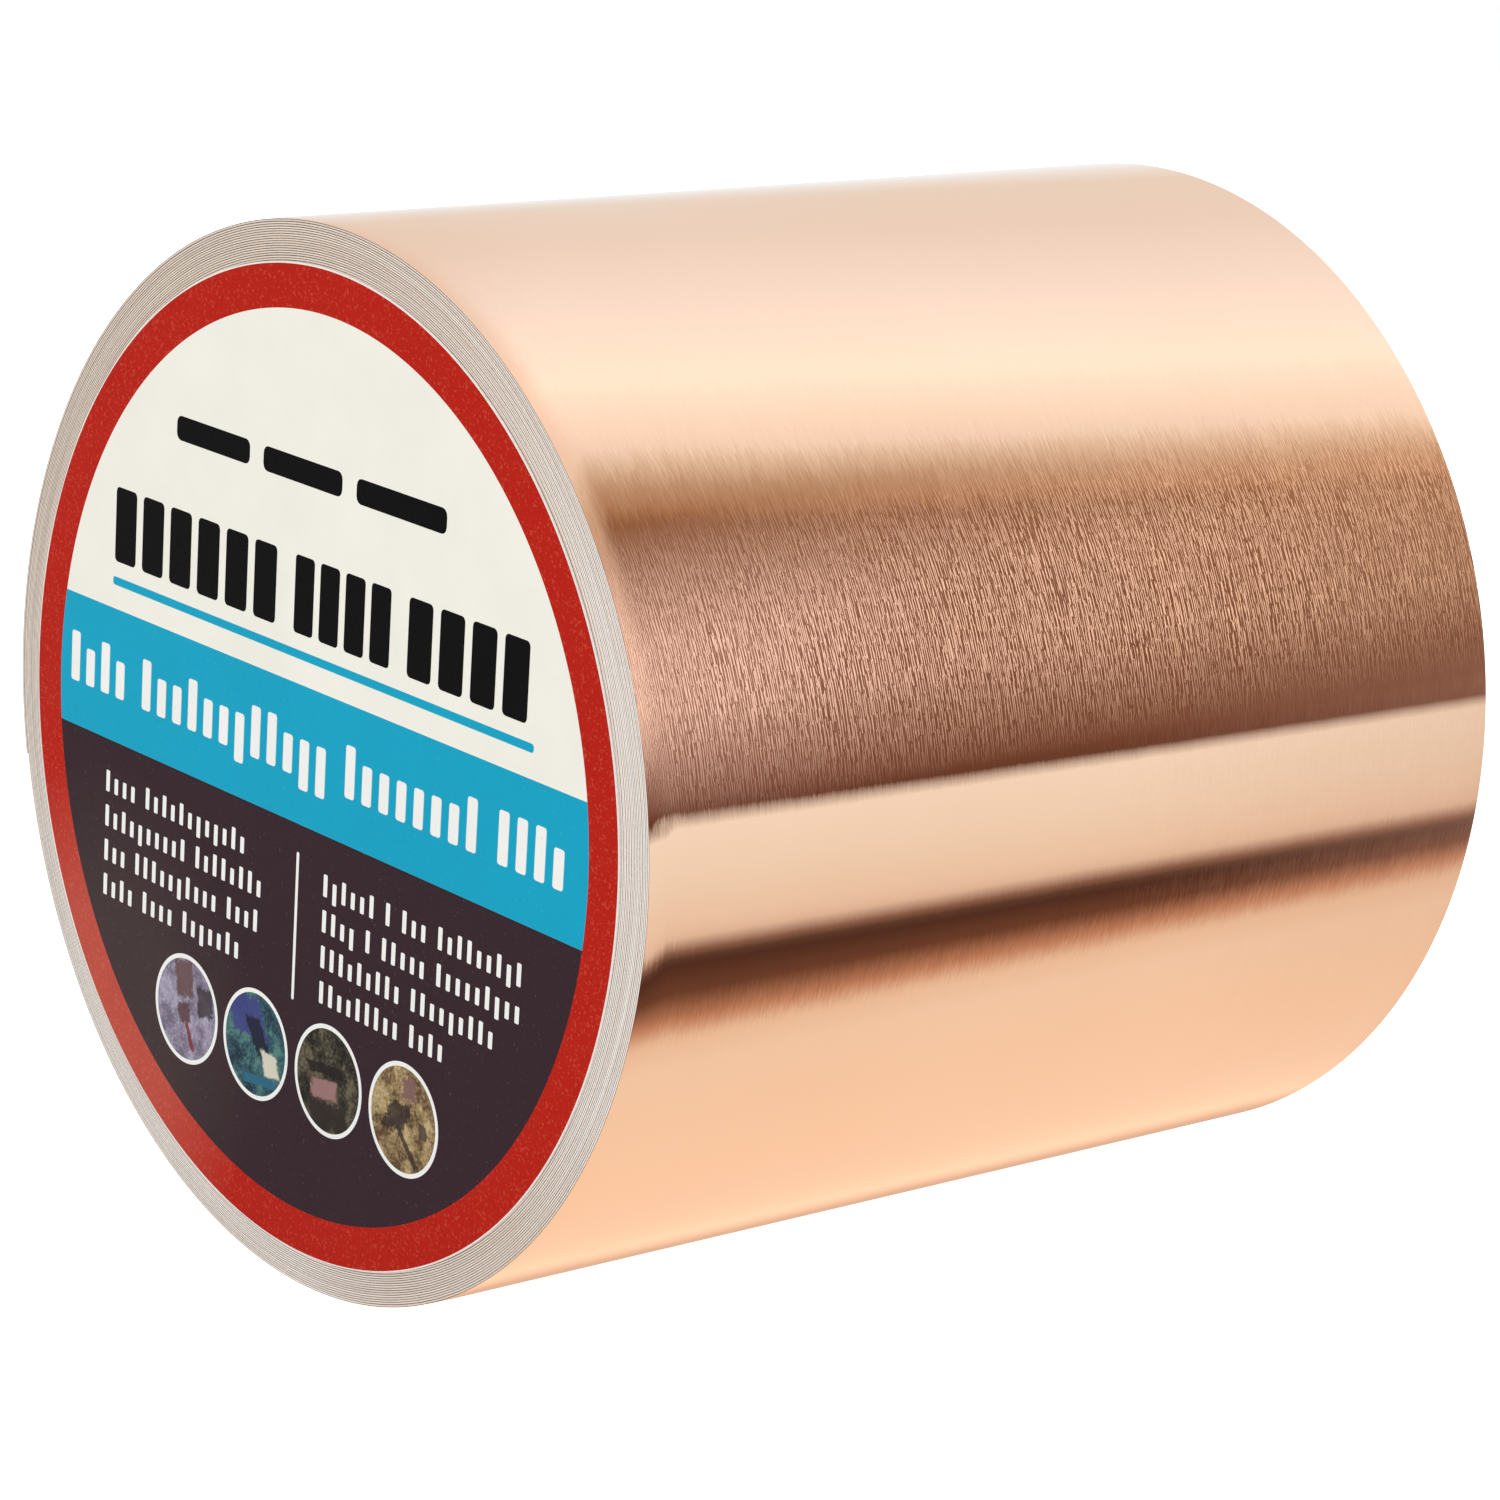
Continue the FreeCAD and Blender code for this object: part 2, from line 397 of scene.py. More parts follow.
def copper_material():
    """Rolled copper foil: almost a mirror, tilted a little sideways by fine scratches and slow waves."""
    material, graph = material_graph("copper_foil")
    uv = graph.add("ShaderNodeUVMap", uv_map="tape")
    along, across, _ = graph.split(uv)
    slant = graph.math("MULTIPLY_ADD", along, SCRATCH_SLANT, across)
    cell_along = graph.math("MULTIPLY", along, 1 / SCRATCH_LENGTH)
    cell_across = graph.math("MULTIPLY", slant, 1 / SCRATCH_WIDTH)
    cell = graph.join(cell_along, cell_across)
    cells = graph.add("ShaderNodeTexVoronoi", {"Vector": cell, "Scale": 1.0}, voronoi_dimensions="2D")
    scratches = cells.node.outputs

    def streaks(length, width, **options):
        """Noise drawn out round the roll, to a length and a width."""
        place_along = graph.math("MULTIPLY", along, 1 / length)
        place_across = graph.math("MULTIPLY", slant, 1 / width)
        return graph.noise(graph.join(place_along, place_across), **options)

    patches = graph.stretch(streaks(9 * MM, 3.5 * MM, detail=2, distortion=0.3), 0.36, 0.66, 0.8, 1.0)
    waves = streaks(12 * MM, 4 * MM, detail=1)
    tarnish = graph.stretch(streaks(30 * MM, 22 * MM), 0.35, 0.7, 0.0, 0.22)
    colour = graph.mix(tarnish, COPPER, WORN_COPPER)
    wavy = graph.bump(waves, 1.0, WAVE_DEPTH)
    off_middle = graph.add("ShaderNodeVectorMath", {0: cell, 1: scratches["Position"]}, operation="SUBTRACT")
    tilt = graph.math("MULTIPLY", graph.split(off_middle)[1], SCRATCH_TILT)
    spread = graph.math("SUBTRACT", graph.split(scratches["Color"])[0], 0.5)
    tilt = graph.math("MULTIPLY_ADD", spread, SCRATCH_SPREAD, tilt)
    tilt = graph.math("MULTIPLY", tilt, patches)
    normal = graph.add("ShaderNodeVectorMath", {0: wavy, 1: graph.join(0.0, tilt)}, operation="ADD")
    normal = graph.add("ShaderNodeVectorMath", {0: normal}, operation="NORMALIZE")
    rough = graph.stretch(patches, 0.8, 1.0, 0.018, 0.026)
    graph.finish(Base_Color=colour, Metallic=1.0, Roughness=rough, Normal=normal, Specular_Tint=COPPER_SHEEN)
    return material


def cut_copper_material():
    """The sheared edge of the foil, dulled and smeared with adhesive."""
    material, graph = material_graph("copper_cut_edge")
    grain = graph.noise(place(graph), scale=900, detail=3)
    share = graph.math("MULTIPLY_ADD", graph.math("SUBTRACT", grain, 0.5), 0.5, turn_noise(graph, 1.7))
    colour = graph.mix(graph.stretch(share, 0.35, 0.65), srgb(48, 38, 34), srgb(132, 112, 102))
    graph.finish(Base_Color=colour, Metallic=0.3, Roughness=0.6)
    return material


def rim_gap_shade(graph):
    """How much painted shade darkens the gaps between turns round the rim, from 0 to 1."""
    x, _, z = graph.split(place(graph))
    angle = graph.math("ARCTAN2", z, x)
    upper = graph.math("COSINE", graph.math("SUBTRACT", angle, GAP_SHADE_ANGLE))
    lower = graph.math("COSINE", graph.math("SUBTRACT", angle, GAP_SHADE_ANGLE_BELOW))
    upper = graph.stretch(upper, -0.1, 0.85)
    lower = graph.stretch(lower, 0.85, 0.98, 0.0, 0.7)
    return graph.math("MAXIMUM", upper, lower)


def turn_noise(graph, frequency):
    """Noise that changes from turn to turn and slowly round each turn."""
    x, _, z = graph.split(place(graph))
    squares = graph.math("ADD", graph.math("MULTIPLY", x, x), graph.math("MULTIPLY", z, z))
    turn = graph.math("MULTIPLY", graph.math("SQRT", squares), 1 / TURN_PITCH)
    angle = graph.math("MULTIPLY", graph.math("ARCTAN2", z, x), frequency)
    return graph.noise(graph.join(turn, angle), detail=1)


def paper_material(name, light, dark, roughness, fibre=260, contrast=(0.35, 0.7)):
    """Matt or satin paper with fine fibres and a little mottling."""
    material, graph = material_graph(name)
    point = place(graph)
    fibres = graph.noise(point, scale=fibre / (100 * MM), detail=4, roughness=0.65)
    mottle = graph.noise(point, scale=1 / (9 * MM), detail=2)
    share = graph.math("MULTIPLY_ADD", graph.math("SUBTRACT", mottle, 0.5), 0.4, fibres)
    colour = graph.mix(graph.stretch(share, *contrast), dark, light)
    normal = graph.bump(fibres, 0.3, 0.02 * MM)
    rough = graph.stretch(fibres, 0.3, 0.7, roughness - 0.06, roughness + 0.06)
    graph.finish(Base_Color=colour, Roughness=rough, Normal=normal, Specular_IOR_Level=0.3)
    return material


def liner_edge_material():
    """The cut edge of the release paper: each turn a shade apart, with painted shade as if in the gaps between
    turns round two parts of the rim.
    """
    material, graph = material_graph("release_paper_edge")
    grain = graph.noise(place(graph), scale=2500, detail=2)
    share = graph.math("MULTIPLY_ADD", graph.math("SUBTRACT", grain, 0.5), 0.5, turn_noise(graph, 1.2))
    colour = graph.mix(graph.stretch(share, 0.3, 0.7), srgb(233, 223, 213), srgb(255, 251, 244))
    # painted shade: round two parts of the rim the paper's edge is made warmer and darker, as if in the gaps
    # between turns
    colour = graph.mix(rim_gap_shade(graph), colour, (0.88, 0.79, 0.72), blend="MULTIPLY")
    graph.finish(Base_Color=colour, Roughness=0.8, Specular_IOR_Level=0.2)
    return material


def adhesive_material(name, colour, roughness=0.35, on_rim=False):
    """A clear-grey pressure-sensitive coat, filled with fine conductive powder."""
    material, graph = material_graph(name)
    specks = graph.noise(place(graph), scale=4000, detail=2)
    ripple = graph.noise(place(graph), scale=1 / (2.5 * MM), detail=3)
    dark = tuple(0.72 * part for part in colour)
    shade = graph.mix(graph.stretch(specks, 0.45, 0.7), colour, dark)
    if on_rim:
        # painted shade: the adhesive's edges on the rim are darkened round the same two parts, as if in the gaps
        # between turns
        shade = graph.mix(rim_gap_shade(graph), shade, (0.5, 0.5, 0.45), blend="MULTIPLY")
    normal = graph.bump(ripple, 0.25, 0.02 * MM)
    rough = graph.stretch(ripple, 0.3, 0.7, roughness - 0.08, roughness + 0.1)
    graph.finish(Base_Color=shade, Roughness=rough, Normal=normal)
    return material


def kraft_material(name, light, dark, seam_pitch, seam_angle_shift):
    """Core board with long fibres and the helical seam of its wound strip."""
    material, graph = material_graph(name)
    point = place(graph)
    x, y, z = graph.split(point)
    angle = graph.math("ARCTAN2", z, x)
    seams_along = graph.math("MULTIPLY", y, 1 / seam_pitch)
    turns = graph.math("ADD", seams_along, graph.math("MULTIPLY", angle, 1 / FULL_TURN))
    phase = graph.math("FRACT", graph.math("ADD", turns, seam_angle_shift))
    near_seam = graph.math("ABSOLUTE", graph.math("SUBTRACT", phase, 0.5))
    seam = graph.stretch(near_seam, 0.0, 0.012, 1.0, 0.0)
    fibres_round = graph.math("MULTIPLY", angle, 120)
    fibres_along = graph.math("MULTIPLY", y, PER_MM / 0.35)
    fibres = graph.noise(graph.join(fibres_round, fibres_along), detail=4, roughness=0.65)
    flecks = graph.noise(point, scale=1500, detail=3)
    share = graph.math("MULTIPLY_ADD", flecks, 0.5, graph.math("MULTIPLY", fibres, 0.5))
    colour = graph.mix(graph.stretch(share, 0.35, 0.65), dark, light)
    colour = graph.mix(graph.math("MULTIPLY", seam, 0.6), colour, tuple(0.4 * part for part in dark))
    height = graph.math("SUBTRACT", share, seam)
    normal = graph.bump(height, 0.5, 0.05 * MM)
    rough = graph.stretch(fibres, 0.3, 0.7, 0.72, 0.92)
    graph.finish(Base_Color=colour, Roughness=rough, Normal=normal, Specular_IOR_Level=0.2)
    return material


def ink_material(name, colour, speck_colour, speck=0.62, roughness=0.42, sheen_haze=0.0):
    """Printed ink on coated paper: slightly mottled, with tiny gaps and a painted sheen over the label's lower
    corner.
    """
    material, graph = material_graph(name)
    point = place(graph)
    gaps = graph.noise(point, scale=3600, detail=1.5)
    mottle = graph.noise(point, scale=1 / (6 * MM), detail=3)
    darker = tuple(0.78 * part for part in colour)
    tint = graph.mix(graph.stretch(mottle, 0.3, 0.7, 0.0, 0.16), colour, darker)
    tint = graph.mix(graph.stretch(gaps, speck, speck + 0.1, 0.0, 0.5), tint, speck_colour)
    # painted sheen: near the label's lower corner the ink is mixed towards a pale warm colour
    off_corner = graph.add("ShaderNodeVectorMath", {0: point, 1: PAINTED_SHEEN_CENTRE}, operation="DISTANCE")
    off_corner = off_corner.node.outputs["Value"]
    tint = graph.mix(graph.stretch(off_corner, PAINTED_SHEEN_INNER, PAINTED_SHEEN_OUTER, sheen_haze, 0.0), tint, PAINTED_SHEEN_COLOUR)
    fibres = graph.noise(point, scale=2200, detail=3)
    normal = graph.bump(fibres, 0.12, 0.02 * MM)
    rough = graph.stretch(fibres, 0.3, 0.7, roughness - 0.06, roughness + 0.08)
    graph.finish(Base_Color=tint, Roughness=rough, Normal=normal, Specular_IOR_Level=0.05)
    return material


copper = copper_material()
copper_edge = cut_copper_material()
liner_paper = paper_material("release_paper", srgb(236, 233, 226), srgb(218, 213, 205), 0.45)
liner_edge = liner_edge_material()
adhesive = adhesive_material("transfer_adhesive", srgb(168, 158, 148))
adhesive_edge = adhesive_material("transfer_adhesive_edge", srgb(226, 214, 204), 0.6, on_rim=True)
label_adhesive = adhesive_material("label_adhesive", srgb(226, 220, 206), 0.3)
core_board = kraft_material("core_board", srgb(176, 150, 120), srgb(132, 108, 82), SEAM_PITCH, 0.2)
core_facing = kraft_material("core_facing", srgb(190, 164, 132), srgb(154, 128, 98), SEAM_PITCH, 0.55)

CREAM = srgb(243, 241, 229)
BLUE = srgb(14, 164, 198)
AUBERGINE = srgb(54, 36, 43)
RED = srgb(184, 26, 8)
bare_paper = paper_material("label_bare_paper", srgb(246, 242, 236), srgb(232, 226, 218), 0.55)
cream_ink = ink_material("label_cream", CREAM, srgb(250, 250, 246), 0.7)
blue_ink = ink_material("label_blue", BLUE, srgb(70, 182, 208), 0.68)
# the last argument sets how much painted sheen lies over the label's lower corner
dark_ink = ink_material("label_aubergine", AUBERGINE, srgb(120, 108, 112), 0.7, sheen_haze=0.025)
red_ink = ink_material("label_red", RED, srgb(204, 84, 54), 0.58, sheen_haze=0.09)
black_ink = ink_material("label_black", srgb(4, 2, 2), srgb(40, 38, 38), 0.7)
white_ink = ink_material("label_white", srgb(244, 244, 240), srgb(210, 206, 206), 0.68)

# ---- core ----


def record_slot(node):
    """The material slot the record gives a node."""
    return next(part["material_slot"] for part in record["subparts"] if part["node"] == node)


def core_ply(name, material, inner, outer):
    """One ply of the core, its cut ends very slightly rounded."""
    ease = 0.06 * MM
    start = ROLL_START
    end = ROLL_END
    profile = [
        (inner, start + ease),
        (inner + ease, start),
        (outer - ease, start),
        (outer, start + ease),
        (outer, end - ease),
        (outer - ease, end),
        (inner + ease, end),
        (inner, end - ease),
    ]
    piece = lathe(name.replace("core_", "paper_core_"), profile, material, sharp=60)
    return finish_piece(piece, "roll", record_slot(name), name)


START_TAPE_LENGTH = 25.4 * MM
START_TAPE_THICKNESS = 0.08 * MM

plies = [node for node in frame["nodes"] if node.startswith("core_") and "_ply" in node]
plies.sort(key=lambda node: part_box(node)[1].x)
inner_radius = BORE_RADIUS
for ply in plies:
    outer_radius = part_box(ply)[1].x
    core_ply(ply, core_board if "body" in ply else core_facing, inner_radius, outer_radius)
    inner_radius = outer_radius


def start_tape():
    """The double-sided strip that holds the first turn to the core."""
    node = "core_start_tape"
    low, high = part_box(node)
    first_turn = PEEL_ANGLE - HALF_TURNS * math.pi
    span = START_TAPE_LENGTH / CORE_RADIUS
    vertices = []
    steps = 24
    for step in range(steps + 1):
        angle = first_turn + span * step / steps
        for radius in (CORE_RADIUS, CORE_RADIUS + START_TAPE_THICKNESS):
            for y in (low.y, high.y):
                vertices.append((radius * math.cos(angle), y, radius * math.sin(angle)))
    faces = [(0, 1, 3, 2), (4 * steps, 4 * steps + 2, 4 * steps + 3, 4 * steps + 1)]
    for step in range(steps):
        a = 4 * step
        b = a + 4
        faces += [(a, b, b + 1, a + 1), (a + 2, a + 3, b + 3, b + 2)]
        faces += [(a, a + 2, b + 2, b), (a + 1, b + 1, b + 3, a + 3)]
    piece = make_object("start_strip", vertices, faces, [adhesive])
    return finish_piece(piece, "roll", "transfer_adhesive", node)


start_tape()

# ---- wound tape and free end ----

LAYER_LOOKS = {
    "liner": ([liner_paper, liner_edge], "release_paper"),
    "adhesive": ([adhesive, adhesive_edge], "transfer_adhesive"),
    "foil": ([copper, copper_edge], "copper_foil"),
}
INNER_STEP = math.radians(1.25)
OUTER_STEP = math.radians(0.5)
OUTER_LINES = 64  # strips across the tape in the outer turn's foil
LEAD_LINES = 48  # in the free end's foil
PLAIN_LINES = 24  # in the paper and adhesive under both
INNER_LINES = 1
LEAD_SEGMENT = math.radians(24)
LEAD_END = 3 * LEAD_SEGMENT
TIP_HINGE = LEAD_END - math.radians(16)
LIFT_REACH = math.radians(2.5)  # the tape bends this far on each side of the peel line
CURL_REACH = LEAD_SEGMENT / 2  # between two lengths of the free end the bend is spread out
TIP_REACH = math.radians(1)
FIRST_END = LEAD_SEGMENT - CURL_REACH
SECOND_END = 2 * LEAD_SEGMENT - CURL_REACH
THIRD_BEND = TIP_HINGE - TIP_REACH


def wound(layer, run, start, end, lines, step):
    """One layer of the turns fixed on the roll."""
    materials, slot = LAYER_LOOKS[layer]
    piece = tape_strip(f"{layer}_{run}", start, end, LAYERS[layer], materials, lines, step)
    return finish_piece(piece, "roll", slot, f"{run}_{layer}")


def bending(layer, number, start, end, bend_start, bend_end, node):
    """One layer of a length of the free end, from one angle to another."""
    materials, slot = LAYER_LOOKS[layer]
    lines = LEAD_LINES if layer == "foil" else PLAIN_LINES
    name = f"{layer}_free_end_{number}"
    piece = tape_strip(name, start, end, LAYERS[layer], materials, lines, OUTER_STEP / 2)
    places = [tape_point(angle, 0.5, TAPE_THICKNESS) for angle in (bend_start, bend_end)]
    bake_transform(piece)
    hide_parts(f"{node}_{layer}")
    return piece


for layer in LAYERS:
    wound(layer, "inner_turns", -HALF_TURNS * math.pi, -FULL_TURN, INNER_LINES, INNER_STEP)
    outer_lines = OUTER_LINES if layer == "foil" else PLAIN_LINES
    wound(layer, "outer_turn", -FULL_TURN, -LIFT_REACH, outer_lines, OUTER_STEP)
    third_end = LEAD_END if layer == "liner" else THIRD_BEND
    bending(layer, 1, -LIFT_REACH, FIRST_END, -LIFT_REACH, LIFT_REACH, "lead_1")
    bending(layer, 2, FIRST_END, SECOND_END, FIRST_END, SECOND_END, "lead_2")
    bending(layer, 3, SECOND_END, third_end, SECOND_END, THIRD_BEND, "lead_3")
    if layer != "liner":
        bending(layer, 4, THIRD_BEND, LEAD_END, THIRD_BEND, TIP_HINGE + TIP_REACH, "tip")

# ---- label ----

LABEL_TURN = math.radians(-5.55)  # the label is stuck on a little turned
INK = 0.012 * MM
FIELD_RADIUS = 41.7 * MM
BAND_TOP = 7.7 * MM
BAND_BOTTOM = -5.25 * MM
BARE_EDGE = 0.16 * MM
PAPER_EASE = 0.03 * MM
GLUE_INSET = 0.02 * MM
CIRCLE_STEPS = 72
GLUE_STEPS = 240
LABEL_FACE = LABEL_LOW.y
LABEL_BACK = LABEL_HIGH.y


def label_point(along, up, out=0.0):
    """A point of the label's face: along its rows, up it, and out from it."""
    x = along * math.cos(LABEL_TURN) - up * math.sin(LABEL_TURN)
    z = along * math.sin(LABEL_TURN) + up * math.cos(LABEL_TURN)
    return (LABEL_CENTRE.x + x, LABEL_FACE - out, LABEL_CENTRE.z + z)


def label_sheet():
    """The label's paper with its printed ring and fields."""
    corners = [math.asin(BAND_TOP / FIELD_RADIUS)]
    corners.append(math.pi - corners[0])
    corners.append(math.pi - math.asin(BAND_BOTTOM / FIELD_RADIUS))
    corners.append(FULL_TURN + math.asin(BAND_BOTTOM / FIELD_RADIUS))
    corners.append(FULL_TURN + corners[0])
    angles = []
    marks = []
    for first, second in zip(corners, corners[1:]):
        marks.append(len(angles))
        steps = math.ceil((second - first) / math.radians(1))
        angles += [first + (second - first) * step / steps for step in range(steps)]
    count = len(angles)
    rings = [(FIELD_RADIUS, 0.0), (LABEL_RADIUS - BARE_EDGE, 0.0), (LABEL_RADIUS - PAPER_EASE, 0.0)]
    rings += [(LABEL_RADIUS, -PAPER_EASE), (LABEL_RADIUS, LABEL_FACE - LABEL_BACK)]
    vertices = []
    for radius, out in rings:
        for angle in angles:
            vertices.append(label_point(radius * math.cos(angle), radius * math.sin(angle), out))
    faces = []
    looks = []
    ring_looks = [1, 0, 0, 0]
    for ring, look in enumerate(ring_looks):
        for step in range(count):
            after = (step + 1) % count
            base = ring * count
            faces.append((base + step, base + count + step, base + count + after, base + after))
            looks.append(look)
    top = list(range(marks[0], marks[1] + 1))
    left = list(range(marks[1], marks[2] + 1))
    bottom = list(range(marks[2], marks[3] + 1))
    right = list(range(marks[3], count)) + [0]
    faces += [tuple(top), tuple(left + right), tuple(bottom), tuple(reversed(range(4 * count, 5 * count)))]
    looks += [2, 3, 4, 0]
    materials = [bare_paper, red_ink, cream_ink, blue_ink, dark_ink]
    sheet = make_object("label_sheet", vertices, faces, materials, looks)
    return finish_piece(sheet, "roll", "printed_paper", "label_paper")


def label_glue():
    """The adhesive coat behind the label's paper."""
    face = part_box("label_adhesive")[0].y
    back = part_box("label_adhesive")[1].y
    reach = LABEL_RADIUS - GLUE_INSET
    steps = GLUE_STEPS
    vertices = []
    for y in (face, back):
        for step in range(steps):
            angle = FULL_TURN * step / steps
            x = LABEL_CENTRE.x + reach * math.cos(angle)
            z = LABEL_CENTRE.z + reach * math.sin(angle)
            vertices.append((x, y, z))
    faces = [tuple(range(steps)), tuple(reversed(range(steps, 2 * steps)))]
    faces += [(step, step + steps, (step + 1) % steps + steps, (step + 1) % steps) for step in range(steps)]
    coat = make_object("label_adhesive_coat", vertices, faces, [label_adhesive])
    return finish_piece(coat, "roll", "transfer_adhesive", "label_adhesive")


def print_shapes(name, outlines, material):
    """Thin printed shapes, each an outline in the label's own coordinates."""
    vertices = []
    faces = []
    for outline in outlines:
        base = len(vertices)
        count = len(outline)
        for out in (INK, 0.0):
            vertices += [label_point(along, up, out) for along, up in outline]
        faces.append(tuple(range(base, base + count)))
        for step in range(count):
            after = (step + 1) % count
            faces.append((base + step, base + count + step, base + count + after, base + after))
    shape = make_object(name, vertices, faces, [material])
    return finish_piece(shape, "roll", "printed_paper")


def block(along, up, width, height, corner=0.2):
    """A rounded rectangle standing on a point, as an outline."""
    radius = corner * min(width, height)
    outline = []
    right = width - radius
    top = height - radius
    centres = [(right, radius), (right, top), (radius, top), (radius, radius)]
    for quarter, (x, z) in enumerate(centres):
        for step in range(4):
            angle = math.radians(90 * quarter - 90 + 30 * step)
            outline.append((along + x + radius * math.cos(angle), up + z + radius * math.sin(angle)))
    return outline


def word_blocks(start, base, counts, pitch, height, fill, chance):
    """Rows of plain blocks in place of words: one block for each letter, a few taller or lower."""
    outlines = []
    along = start
    for count in counts:
        for number in range(count):
            rise = height
            drop = 0.0
            if number and chance.random() < 0.72:
                rise = 0.74 * height
            if rise < height and chance.random() < 0.12:
                drop = 0.22 * height
            outlines.append(block(along, base - drop, fill * pitch, rise + drop))
            along += pitch
        along += 0.75 * pitch
    return outlines


def ring_outline(radius):
    """A circle about the point (0, 0), as an outline."""
    angles = [FULL_TURN * step / CIRCLE_STEPS for step in range(CIRCLE_STEPS)]
    return [(radius * math.cos(angle), radius * math.sin(angle)) for angle in angles]


# Places and sizes of the print, in millimetres from the label's middle.
TITLE_WORDS = ((-32.7, 6, 27.2), (-2.9, 4, 15.1), (14.6, 4, 17.9))  # start, letters, width
TITLE_BASE = 12.3
TITLE_HEIGHT = 7.2
TITLE_FILL = 0.76  # the share of a letter's place that its block fills
TITLE_GAP = 0.16  # the share left out after a word's last letter
NAME_BARS = ((-22.8, 12.0), (-8.6, 12.4), (6.0, 13.5))  # start, width
NAME_BASE = 26.0
NAME_HEIGHT = 2.3
UNDERLINE = (-32.9, 10.0, 66.2, 0.8)  # start, base, width, height
DIVIDER = (-0.99, -21.96, 0.4, 14.1)
BAND_WORDS = (4, 12, 8, 4)  # letters in each word
BAND_START = -39.8
BAND_BASE = -0.9
BAND_PITCH = 2.62
BAND_LETTER_HEIGHT = 4.9
LIST_LETTER_HEIGHT = 2.1
LEFT_ROWS = ((4, 12), (10, 8), (3, 10, 4), (4, 4, 7))
LEFT_LIST = (-33.1, -10.4, 3.43, 1.46)  # start, first base, row spacing, letter spacing
RIGHT_ROWS = ((6, 1, 3, 9), (4, 1, 5, 9), (9, 9), (9, 4))
RIGHT_LIST = (3.4, -10.9, 3.37, 1.44)


def bar(start, base, width, height, corner):
    """A rounded rectangle as an outline, from sizes in millimetres."""
    return block(start * MM, base * MM, width * MM, height * MM, corner)


def list_row(rows, layout, number, chance):
    """One row of a list: a plain block for each letter of its words."""
    start, first_base, row_spacing, pitch = layout
    base = (first_base - row_spacing * number) * MM
    return word_blocks(start * MM, base, rows[number], pitch * MM, LIST_LETTER_HEIGHT * MM, 0.42, chance)


def printed_rows():
    """The title, name, band and lists of the label, all as plain blocks."""
    title = []
    for start, count, width in TITLE_WORDS:
        pitch = width / (count - TITLE_GAP)
        for number in range(count):
            title.append(bar(start + number * pitch, TITLE_BASE, TITLE_FILL * pitch, TITLE_HEIGHT, 0.14))
    print_shapes("label_title_blocks", title, black_ink)
    names = [bar(start, NAME_BASE, width, NAME_HEIGHT, 0.3) for start, width in NAME_BARS]
    print_shapes("label_name_bars", names, black_ink)
    print_shapes("label_underline", [bar(*UNDERLINE, 0.4)], blue_ink)
    chance = random.Random(SEED)
    band_place = (BAND_START * MM, BAND_BASE * MM)
    band_size = (BAND_PITCH * MM, BAND_LETTER_HEIGHT * MM)
    band = word_blocks(*band_place, BAND_WORDS, *band_size, 0.56, chance)
    print_shapes("label_band_blocks", band, white_ink)
    left_list = []
    right_list = []
    for number in range(len(LEFT_ROWS)):
        left_list += list_row(LEFT_ROWS, LEFT_LIST, number, chance)
        right_list += list_row(RIGHT_ROWS, RIGHT_LIST, number, chance)
    print_shapes("label_list_left_blocks", left_list, white_ink)
    print_shapes("label_list_right_blocks", right_list, white_ink)
    print_shapes("label_divider", [bar(*DIVIDER, 0.5)], white_ink)


label_sheet()
label_glue()
printed_rows()

ROUNDEL_RADIUS = 4.9 * MM
ROUNDEL_RIM = 0.42 * MM
ROUNDEL_HEIGHT = -28.0 * MM


def roundel_rim(number, along):
    """The white ring round a small picture."""
    outer = ROUNDEL_RADIUS + ROUNDEL_RIM
    vertices = []
    for radius, out in ((outer, 0.0), (outer, INK), (ROUNDEL_RADIUS, INK), (ROUNDEL_RADIUS, 0.0)):
        for x, z in ring_outline(radius):
            vertices.append(label_point(along + x, ROUNDEL_HEIGHT + z, out))
    faces = []
    for ring in range(3):
        here = ring * CIRCLE_STEPS
        there = here + CIRCLE_STEPS
        for step in range(CIRCLE_STEPS):
            after = (step + 1) % CIRCLE_STEPS
            faces.append((here + step, here + after, there + after, there + step))
    rim = make_object(f"label_roundel_{number}_rim", vertices, faces, [white_ink])
    return finish_piece(rim, "roll", "printed_paper")


def roundel_picture(number, along, material):
    """A small round patch of plain printed texture."""
    outline = [(along + x, ROUNDEL_HEIGHT + z) for x, z in ring_outline(ROUNDEL_RADIUS)]
    return print_shapes(f"label_roundel_{number}_patch", [outline], material)


def picture_material(name, centre, backdrop, patches):
    """A blotchy backdrop in three shades with a few plain patches over it."""
    material, graph = material_graph(name)
    x, _, z = graph.split(place(graph))
    local_x = graph.math("MULTIPLY", graph.math("SUBTRACT", x, centre[0]), PER_MM)
    local_z = graph.math("MULTIPLY", graph.math("SUBTRACT", z, centre[2]), PER_MM)
    local = graph.join(local_x, local_z)
    blotches = graph.noise(local, scale=0.45, detail=4, roughness=0.6, distortion=0.6)
    grain = graph.noise(place(graph), scale=3200, detail=2)
    share = graph.math("MULTIPLY_ADD", graph.math("SUBTRACT", grain, 0.5), 0.45, blotches)
    colour = graph.ramp(share, [(0.36, backdrop[0]), (0.5, backdrop[1]), (0.64, backdrop[2])])
    wobble = graph.math("SUBTRACT", share, 0.5)
    for patch_x, patch_z, width, height, lean, shade in patches:
        up = graph.math("SUBTRACT", local_z, patch_z)
        across = graph.math("MULTIPLY_ADD", up, lean, graph.math("SUBTRACT", local_x, patch_x))
        across = graph.math("MULTIPLY", graph.math("ABSOLUTE", across), 2 / width)
        up = graph.math("MULTIPLY", graph.math("ABSOLUTE", up), 2 / height)
        reach = graph.math("ADD", graph.math("MAXIMUM", across, up), wobble)
        colour = graph.mix(graph.stretch(reach, 1.05, 0.85, 0.0, 0.9), colour, shade)
    graph.finish(Base_Color=colour, Roughness=0.42, Specular_IOR_Level=0.08)
    return material


